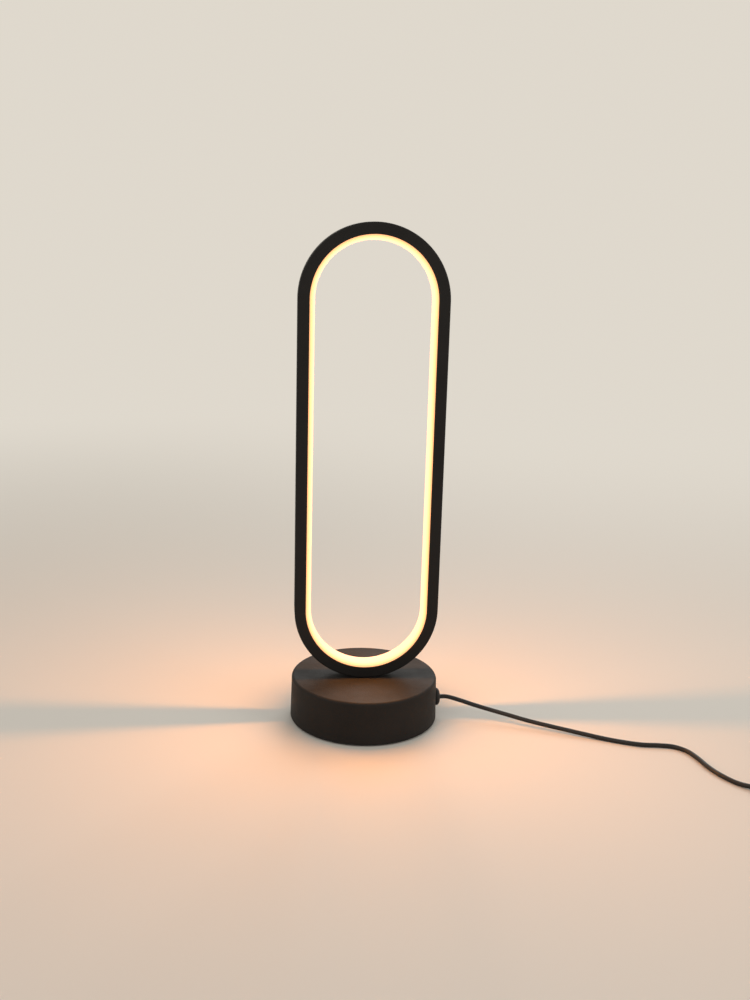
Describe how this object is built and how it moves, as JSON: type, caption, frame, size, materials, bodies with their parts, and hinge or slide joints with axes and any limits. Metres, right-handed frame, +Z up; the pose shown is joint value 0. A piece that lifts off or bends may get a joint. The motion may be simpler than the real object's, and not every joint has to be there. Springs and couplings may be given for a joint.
{
  "type": "ring table lamp",
  "caption": "Upright stadium-shaped ring lamp lit along its inner face, on a round weighted base, with a cord, inline three-button switch and plug.",
  "frame": {"origin": "centre of the round base on the surface that the lamp stands on", "axes": "+Z up, the ring stands in the XZ plane with its front towards -Y, the cord leaves the base at +X"},
  "size_m": [0.3832, 0.184, 0.3336],
  "materials": {
    "black_metal": "satin black powder coat on aluminium and steel",
    "steel": "zinc plated steel",
    "iron": "raw cast iron",
    "foot_rubber": "matte closed-cell foam rubber",
    "grommet_rubber": "satin black rubber",
    "cord_rubber": "smooth black cable jacket",
    "black_plastic": "fine textured black plastic",
    "grey_plastic": "dark grey moulded plastic",
    "white_plastic": "white plastic and flexible circuit",
    "board": "green solder mask",
    "brass": "bright brass",
    "red_wire": "red wire insulation",
    "black_wire": "black wire insulation",
    "light": "frosted warm white diffuser, lit"
  },
  "bodies": {
    "lamp": {"ballast_screw_1": "steel", "ballast_screw_2": "steel", "ballast_weight": "iron", "base_cover": "steel", "base_shell": "black_metal", "board_screw_1": "steel", "board_screw_2": "steel", "board_spacer_1": "brass", "board_spacer_2": "brass", "cable_grommet": "grommet_rubber", "clamp_screw_1": "steel", "clamp_screw_2": "steel", "cord_clamp": "grey_plastic", "cord_coil": "cord_rubber", "cord_tail": "cord_rubber", "cord_tie": "black_plastic", "cord_to_coil": "cord_rubber", "cord_to_plug": "cord_rubber", "cord_to_switch": "cord_rubber", "cover_screw_1": "steel", "cover_screw_2": "steel", "cover_screw_3": "steel", "foot_pad": "foot_rubber", "input_wire_black": "black_wire", "input_wire_red": "red_wire", "junction_board": "board", "led_strip": "white_plastic", "light_diffuser": "light", "lock_washer": "steel", "nipple_nut": "steel", "plug_body": "grommet_rubber", "plug_contact_1": "brass", "plug_contact_2": "brass", "plug_contact_3": "brass", "plug_contact_4": "brass", "plug_shell": "steel", "plug_tongue": "white_plastic", "ring_channel": "black_metal", "ring_joiner": "steel", "ring_saddle": "foot_rubber", "ring_wire_black": "black_wire", "ring_wire_red": "red_wire", "switch_board": "board", "switch_case_bottom": "black_plastic", "switch_case_top": "black_plastic", "switch_relief_1": "grommet_rubber", "switch_relief_2": "grommet_rubber", "switch_screw_1": "steel", "switch_screw_2": "steel", "tact_switch_brighter": "steel", "tact_switch_dimmer": "steel", "tact_switch_power": "steel", "threaded_nipple": "steel"},
    "button_dimmer": {"button_dimmer": "grey_plastic", "tact_plunger_dimmer": "black_plastic"},
    "button_power": {"button_power": "grey_plastic", "tact_plunger_power": "black_plastic"},
    "button_brighter": {"button_brighter": "grey_plastic", "tact_plunger_brighter": "black_plastic"}
  },
  "joints": [
    {"name": "press_dimmer", "type": "slide", "parent": "lamp", "child": "button_dimmer", "axis": [0, 0, -1], "range_m": [0, 0.0006], "stiffness_N_per_m": 2000},
    {"name": "press_power", "type": "slide", "parent": "lamp", "child": "button_power", "axis": [0, 0, -1], "range_m": [0, 0.0006], "stiffness_N_per_m": 2000},
    {"name": "press_brighter", "type": "slide", "parent": "lamp", "child": "button_brighter", "axis": [0, 0, -1], "range_m": [0, 0.0006], "stiffness_N_per_m": 2000}
  ]
}
